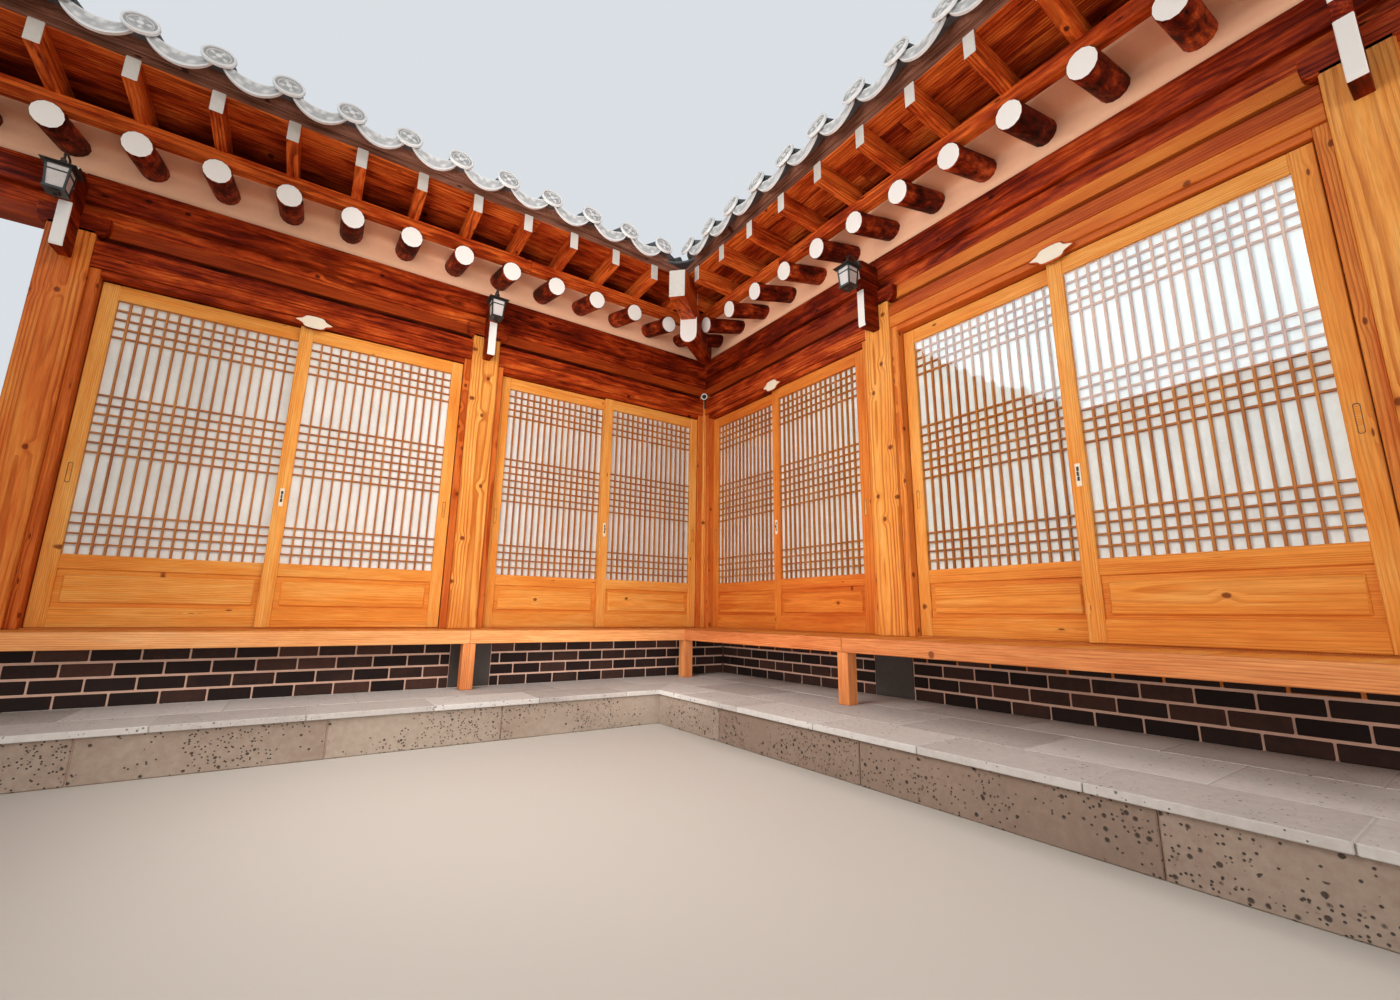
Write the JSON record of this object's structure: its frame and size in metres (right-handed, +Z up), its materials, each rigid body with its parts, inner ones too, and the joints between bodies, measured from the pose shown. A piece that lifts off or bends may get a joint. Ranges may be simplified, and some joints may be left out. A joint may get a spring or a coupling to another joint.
{
  "type": "hanok house",
  "caption": "Single-storey timber house on an L-shaped plan with a curved tiled roof, deep eaves, lattice sliding doors and a veranda round an inner courtyard corner.",
  "frame": {"origin": "inner courtyard corner where the two rows of sliding doors meet, at ground level, on the flat underside of the stone base", "axes": "+Z up; the back wing runs along -X with its doors facing -Y; the side wing runs along -Y with its doors facing -X"},
  "size_m": [9.3353, 9.2813, 5.3984],
  "materials": {
    "pine": "satin clear finish, knots and grain",
    "stained_timber": "red-brown stain, satin",
    "weathered_board": "grey-brown, weathered",
    "stone": "rough pored basalt",
    "brick": "matt fired brick",
    "mortar": "matt",
    "plaster": "matt limewash",
    "roof_tile": "matt fired clay",
    "tile_end": "matt pale glazeless clay",
    "floor": "oiled",
    "iron": "black, semi-gloss",
    "white_paint": "matt white paint on timber ends",
    "paper": "matt mulberry paper",
    "glass": "clear"
  },
  "bodies": {
    "house": {"stone_base": "stone", "terrace_cap": "stone", "room_floor": "floor", "corner_post": "pine", "valley_rafter": "stained_timber", "hip_rafter": "stained_timber", "hip_ridge": "roof_tile", "back_end_lantern": "iron", "back_court_sill": "pine", "back_post": "pine", "back_end_post": "pine", "back_lintel_1": "stained_timber", "back_lintel_2": "stained_timber", "back_maru": "pine", "back_court_purlin": "stained_timber", "back_outer_purlin": "stained_timber", "back_roof_frame": "stained_timber", "back_court_eaves": "stained_timber", "back_outer_eaves": "stained_timber", "back_roof": "roof_tile", "back_ridge": "roof_tile", "back_outer_wall": "plaster", "back_end_wall": "plaster", "back_window_1": "pine", "back_window_2": "pine", "back_barge_board": "stained_timber", "back_lantern": "iron", "side_court_sill": "pine", "side_post": "pine", "side_end_post": "pine", "side_lintel_1": "stained_timber", "side_lintel_2": "stained_timber", "side_maru": "pine", "side_court_purlin": "stained_timber", "side_outer_purlin": "stained_timber", "side_roof_frame": "stained_timber", "side_court_eaves": "stained_timber", "side_outer_eaves": "stained_timber", "side_roof": "roof_tile", "side_ridge": "roof_tile", "side_outer_wall": "plaster", "side_end_wall": "plaster", "side_window_1": "pine", "side_window_2": "pine", "side_barge_board": "stained_timber", "side_lantern": "iron"},
    "back_leaf_1_front": {"back_door_1_front": "pine"},
    "back_leaf_1_rear": {"back_door_1_rear": "pine"},
    "back_leaf_2_front": {"back_door_2_front": "pine"},
    "back_leaf_2_rear": {"back_door_2_rear": "pine"},
    "side_leaf_1_front": {"side_door_1_front": "pine"},
    "side_leaf_1_rear": {"side_door_1_rear": "pine"},
    "side_leaf_2_front": {"side_door_2_front": "pine"},
    "side_leaf_2_rear": {"side_door_2_rear": "pine"}
  },
  "joints": [
    {"name": "back_1_front_slide", "type": "slide", "parent": "house", "child": "back_leaf_1_front", "axis": [-1, 0, 0], "range_m": [0, 0.945]},
    {"name": "back_1_rear_slide", "type": "slide", "parent": "house", "child": "back_leaf_1_rear", "axis": [1, 0, 0], "range_m": [0, 0.945]},
    {"name": "back_2_front_slide", "type": "slide", "parent": "house", "child": "back_leaf_2_front", "axis": [-1, 0, 0], "range_m": [0, 1.0085]},
    {"name": "back_2_rear_slide", "type": "slide", "parent": "house", "child": "back_leaf_2_rear", "axis": [1, 0, 0], "range_m": [0, 1.0085]},
    {"name": "side_1_front_slide", "type": "slide", "parent": "house", "child": "side_leaf_1_front", "axis": [0, 1, 0], "range_m": [0, 0.945]},
    {"name": "side_1_rear_slide", "type": "slide", "parent": "house", "child": "side_leaf_1_rear", "axis": [0, -1, 0], "range_m": [0, 0.945]},
    {"name": "side_2_front_slide", "type": "slide", "parent": "house", "child": "side_leaf_2_front", "axis": [0, 1, 0], "range_m": [0, 0.9815]},
    {"name": "side_2_rear_slide", "type": "slide", "parent": "house", "child": "side_leaf_2_rear", "axis": [0, -1, 0], "range_m": [0, 0.9815]}
  ]
}
